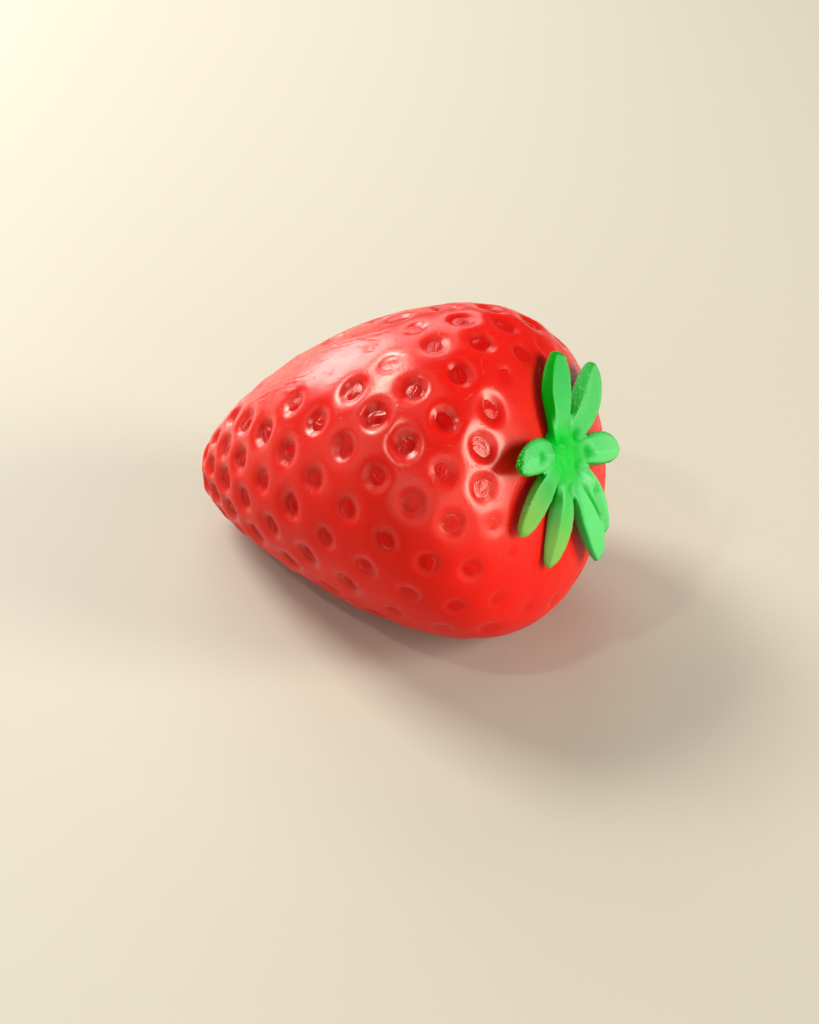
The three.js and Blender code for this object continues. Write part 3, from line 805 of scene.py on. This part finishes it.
def hub_shell():
    """Points and faces of the low dome in the middle of the star."""
    middle = STAR_MIDDLE - HUB_DROP * STAR_UP
    points = []
    for ring in range(HUB_RINGS):
        rise = math.pi / 2 * ring / HUB_RINGS
        for i in range(HUB_SIDES):
            angle = math.tau * i / HUB_SIDES
            points.append(middle + STAR_AXIS * HUB_HEIGHT * math.sin(rise) + math.cos(rise) * (
                STAR_RIGHT * HUB_RADIUS * math.cos(angle) + STAR_UP * HUB_REACH * math.sin(angle)))
    points.append(middle + STAR_AXIS * HUB_HEIGHT)
    faces = [tuple(reversed(range(HUB_SIDES)))]
    for ring in range(HUB_RINGS - 1):
        for i in range(HUB_SIDES):
            a = ring * HUB_SIDES + i
            b = ring * HUB_SIDES + (i + 1) % HUB_SIDES
            faces.append((a, b, b + HUB_SIDES, a + HUB_SIDES))
    last = (HUB_RINGS - 1) * HUB_SIDES
    faces += [(last + i, last + (i + 1) % HUB_SIDES, last + HUB_SIDES)
              for i in range(HUB_SIDES)]
    return points, faces


def mesh_object(name, shells):
    """One object of several closed shells."""
    points = []
    faces = []
    for shell_points, shell_faces in shells:
        faces += [tuple(n + len(points) for n in face) for face in shell_faces]
        points += [tuple(p) for p in shell_points]
    mesh = bpy.data.meshes.new(name)
    mesh.from_pydata(points, [], faces)
    mesh.validate()
    made = bpy.data.objects.new(name, mesh)
    scene.collection.objects.link(made)
    return made


def settled(piece):
    """Turns what a piece's modifiers make into its own mesh."""
    mesh = bpy.data.meshes.new_from_object(
        piece.evaluated_get(bpy.context.evaluated_depsgraph_get()))
    piece.modifiers.clear()
    piece.data = mesh


star = mesh_object("leaf_star_moulding", [leaf_shell(*leaf) for leaf in LEAVES] + [hub_shell()])
for polygon in star.data.polygons:
    polygon.use_smooth = True
melt = star.modifiers.new("melt", "REMESH")
melt.mode = "VOXEL"
melt.voxel_size = VOXEL
melt.use_smooth_shade = True
soften = star.modifiers.new("soften", "SMOOTH")
soften.factor = 0.5
soften.iterations = SMOOTHINGS
seat = star.modifiers.new("seat", "SHRINKWRAP")
seat.target = berry
seat.wrap_method = "NEAREST_SURFACEPOINT"
seat.wrap_mode = "OUTSIDE"
seat.offset = SEAT_GAP
settled(star)


def star_place(point):
    """Where a point lies in the star: degrees round it and mm from its middle."""
    away = point - STAR_MIDDLE
    right = away.dot(STAR_RIGHT) / MM
    up = away.dot(STAR_UP) / MM
    return math.degrees(math.atan2(up, right)) % 360, math.hypot(right, up)


def within(value, rise_from, rise_to, fall_from, fall_to):
    """1 inside a span and 0 outside it, smooth at both ends."""
    return between(value, rise_from, rise_to) * (1 - between(value, fall_from, fall_to))


# Rules for the leaves' looks. Each takes a place's degrees round the star, its mm from the middle
# and how squarely it faces the front, and gives a share from 0 to 1.
def olive(turn, away, facing):
    """The lower leaves turn olive towards their tips."""
    return between(away, 6, 15) * within(turn, 195, 215, 280, 292)


def crumbly(turn, away, facing):
    """The paste is crumbly on one side of an upper leaf, at the end of the left one and a little at
    the foot of a right one."""
    upper = within(turn, 50, 54, 66, 70) * between(away, 6, 10)
    left = within(turn, 150, 165, 215, 225) * between(away, 10, 12.5)
    right = within(turn, 318, 326, 344, 352) * within(away, 4, 6, 9, 12)
    return max(upper * 0.6, left, right * 0.4)


def hub_green_and_band_shade(turn, away, facing):
    """The hub is of a deeper green; a band along the lower leaf beside its ridge gets the same
    green as painted shade.
    """
    band = within(turn, 263, 268, 273, 279) * (1 - between(away, 10, 14))
    return max(1 - between(away, 2.5, 6.5), 0.45 * band)


def shaded_wall(turn, away, facing):
    """Painted shade: the leaves' steep sides, where the surface turns away from the front, are
    darker. Those of three leaves are less so, and the outer side of the lower left leaf gets
    painted shade too."""
    lower = within(turn, 252, 262, 280, 290) * between(away, 6, 9)
    lower_right = within(turn, 284, 290, 308, 316) * between(away, 7, 9)
    upper = within(turn, 46, 52, 68, 72) * between(away, 6, 11)
    outer = within(turn, 205, 215, 228, 240) * between(away, 5, 8)
    steep = 1 - between(facing, 0.66, 0.95)
    return max(steep * (1 - max(0.8 * lower, 0.55 * lower_right, 0.5 * upper)), 0.4 * outer)


def painted_sheen(turn, away, facing):
    """Painted sheen: the right-hand leaves and the left one are paler."""
    right = max(between(turn, 296, 304), 1 - between(turn, 20, 28))
    left = within(turn, 150, 165, 205, 215)
    return max(right, left) * between(away, 4, 8)


# Dents and lumps pressed into the front: degrees round the star, mm from its middle, half size and
# depth in mm. One crease parts two leaves, in degrees and mm, and a shallow moat marks off the
# hub's right side, with its half width as a share of the hub and its depth in mm.
PRESSED = [(5, 6.8, 2.2, 0.55), (183, 8.4, 1.9, 0.45), (183, 5.0, 1.6, -0.3), (330, 8.0, 2.4, -0.4),
           (331, 10.8, 1.8, 0.35), (41, 5.0, 1.5, 0.6), (339, 4.6, 1.7, 0.3), (158, 3.6, 1.5, 0.3),
           (286, 5.4, 1.4, 0.3)]
CREASE = {"turn": 318.5, "from": 6, "to": 16, "half": 0.55, "depth": 0.5}
MOAT = {"at": 1.05, "half": 0.35, "depth": 0.12}
facings = [vertex.normal.dot(STAR_AXIS) for vertex in star.data.vertices]
places = [star_place(vertex.co) for vertex in star.data.vertices]


def dent(turn, away, facing):
    """How far a place is pressed in, in mm."""
    pressed = 0
    for press_turn, press_away, half, depth in PRESSED:
        far = away * away + press_away * press_away - 2 * away * press_away * math.cos(
            math.radians(turn - press_turn))
        pressed += depth * max(0, 1 - far / half ** 2) ** 2
    across = math.radians(turn - CREASE["turn"]) * away / CREASE["half"]
    ends = within(away, CREASE["from"], CREASE["from"] + 2, CREASE["to"] - 2, CREASE["to"])
    pressed += CREASE["depth"] * ends * max(0, 1 - across ** 2)
    right = away * math.cos(math.radians(turn))
    up = away * math.sin(math.radians(turn))
    hub_reach = math.hypot(right * MM / HUB_RADIUS, (up * MM + HUB_DROP) / HUB_REACH)
    moat = max(0, 1 - ((hub_reach - MOAT["at"]) / MOAT["half"]) ** 2)
    pressed += MOAT["depth"] * moat * between(right, 0, 2)
    return pressed * between(facing, 0, 0.4)


rules = {}
for rule in (olive, crumbly, hub_green_and_band_shade, shaded_wall, painted_sheen, dent):
    rules[rule] = [rule(turn, away, facing) for (turn, away), facing in zip(places, facings)]
    star.data.attributes.new(rule.__name__, "FLOAT", "POINT").data.foreach_set("value", rules[rule])
for vertex, pressed in zip(star.data.vertices, rules[dent]):
    vertex.co -= STAR_AXIS * pressed * MM


GREEN_SHADES = ((0.03, 0.4, 0.06, 1), (0.055, 0.5, 0.1, 1))
# The green that each rule leads to, after how strongly it does so. Painted sheen makes some leaves
# paler; painted shade darkens the steep sides, a band of the lower leaf and the dents, creases and
# moat; the olive tips and the hub's deeper green are the paste's own.
GREENS = [(painted_sheen, 0.7, (0.1, 0.6, 0.15, 1)), (shaded_wall, 1.0, (0.0, 0.24, 0.0, 1)),
          (olive, 0.8, (0.22, 0.4, 0.06, 1)), (hub_green_and_band_shade, 0.9, (0.0, 0.48, 0.02, 1)),
          (dent, 2.2, (0.0, 0.36, 0.02, 1))]
SPECK_GREEN = (0.26, 0.62, 0.2, 1)
GREEN_NOISES = {
    "shade": (160.0, 3.0),
    "crumbs": (2200.0, 3.0),
    "grain": (2400.0, 3.0),
    "lumps": (420.0, 2.0),
}


def green_marzipan():
    """Waxy green paste whose colour follows the rules above, painted sheen and painted shade among
    them, with light specks where it crumbles.
    """
    material, nodes, shader = new_material(
        "green_marzipan", Roughness=0.4, Subsurface_Weight=0.2, Subsurface_Scale=0.6 * MM,
        Subsurface_Radius=(0.2, 1.0, 0.3), Specular_Tint=(0.75, 1.0, 0.75, 1.0))
    where = nodes.new("ShaderNodeTexCoord").outputs["Object"]

    def noise(name):
        return noise_at(nodes, where, *GREEN_NOISES[name])

    share = {rule: stored_value(nodes, rule.__name__) for rule in rules}
    colour = blended(nodes, noise("shade"), *GREEN_SHADES)
    # some of these blends are painted sheen and painted shade, as listed with the greens
    for rule, strength, green in GREENS:
        colour = blended(nodes, share[rule] * strength, colour, green)
    crumbs = noise("crumbs")
    speck = smooth_step(nodes, crumbs, 0.46, 0.66) * share[crumbly]
    colour = blended(nodes, speck * 0.5, colour, SPECK_GREEN)
    feed(shader.inputs["Base Color"], colour)
    gloss = 0.32 - 0.26 * share[shaded_wall] - 0.19 * share[hub_green_and_band_shade] - 0.5 * share[dent]
    feed(shader.inputs["Specular IOR Level"], gloss.reckon("MAXIMUM", 0.04))

    # relief in mm: a fine grain, crumbs, and a few soft lumps that are strongest on the hub
    relief = (noise("grain") * 0.012 + crumbs * share[crumbly] * 0.3
              + noise("lumps") * (0.1 + 0.4 * share[hub_green_and_band_shade]))
    bump = add_node(nodes, "ShaderNodeBump", {"Height": relief, "Strength": 1.0, "Distance": MM})
    feed(shader.inputs["Normal"], bump.outputs[0])
    return material


GREEN = green_marzipan()
star.data.materials.clear()
star.data.materials.append(GREEN)
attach(star, "root")
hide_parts("leaf_star")


# Floor: a plain pale sheet, large enough for every view.
FLOOR_HALF = 1.5
FLOOR_COLOUR = (0.52, 0.47, 0.36, 1)
floor_mesh = bpy.data.meshes.new("floor")
floor_mesh.from_pydata([(-FLOOR_HALF, -FLOOR_HALF, 0), (FLOOR_HALF, -FLOOR_HALF, 0),
                        (FLOOR_HALF, FLOOR_HALF, 0), (-FLOOR_HALF, FLOOR_HALF, 0)],
                       [], [(0, 1, 2, 3)])
floor = bpy.data.objects.new("floor", floor_mesh)
scene.collection.objects.link(floor)
floor_mesh.materials.append(
    new_material("pale_floor", Base_Color=FLOOR_COLOUR, Roughness=0.6)[0])


# Lights: soft boxes all round the sweet and a small lamp high in front. The two strongest, on the
# tip's upper side and beyond the leaves, draw the broad highlights; the others fill in.
LIGHT_DISTANCE = 0.7
LIGHTS_AIM = Vector((0, 0, 0.025))
SURROUND_STRENGTH = 0.045


def soft_box(name, turn, rise, width, height, power):
    """A light turned round the sweet and raised above the floor, in degrees, metres and watts."""
    data = bpy.data.lights.new(name, "AREA")
    data.shape = "RECTANGLE"
    data.size = width
    data.size_y = height
    data.energy = power
    box = bpy.data.objects.new(name, data)
    scene.collection.objects.link(box)
    turn = math.radians(turn)
    rise = math.radians(rise)
    back = Vector((math.sin(turn) * math.cos(rise), -math.cos(turn) * math.cos(rise),
                   math.sin(rise)))
    box.location = LIGHTS_AIM + back * LIGHT_DISTANCE
    box.rotation_euler = back.to_track_quat("Z", "Y").to_euler()


soft_box("tip_side_light", -100, 44, 0.26, 0.22, 4.4)
soft_box("tip_side_low_light", -118, 15, 0.28, 0.24, 1.6)
soft_box("front_left_light", -60, 24, 0.4, 0.4, 0.5)
soft_box("front_light", 8, 24, 0.7, 0.4, 1.3)
soft_box("front_lamp", -31, 53, 0.04, 0.04, 0.65)
soft_box("top_light", 0, 88, 0.4, 0.4, 0.4)
soft_box("leaf_side_front_light", 62, 18, 0.4, 0.4, 1.0)
soft_box("leaf_side_strip", 104, 19, 0.25, 0.42, 5.0)
soft_box("back_light", -145, 30, 0.4, 0.4, 1.2)

world = bpy.data.worlds.new("surround")
world.use_nodes = True
world.node_tree.nodes["Background"].inputs["Color"].default_value = (1, 1, 1, 1)
world.node_tree.nodes["Background"].inputs["Strength"].default_value = SURROUND_STRENGTH
scene.world = world
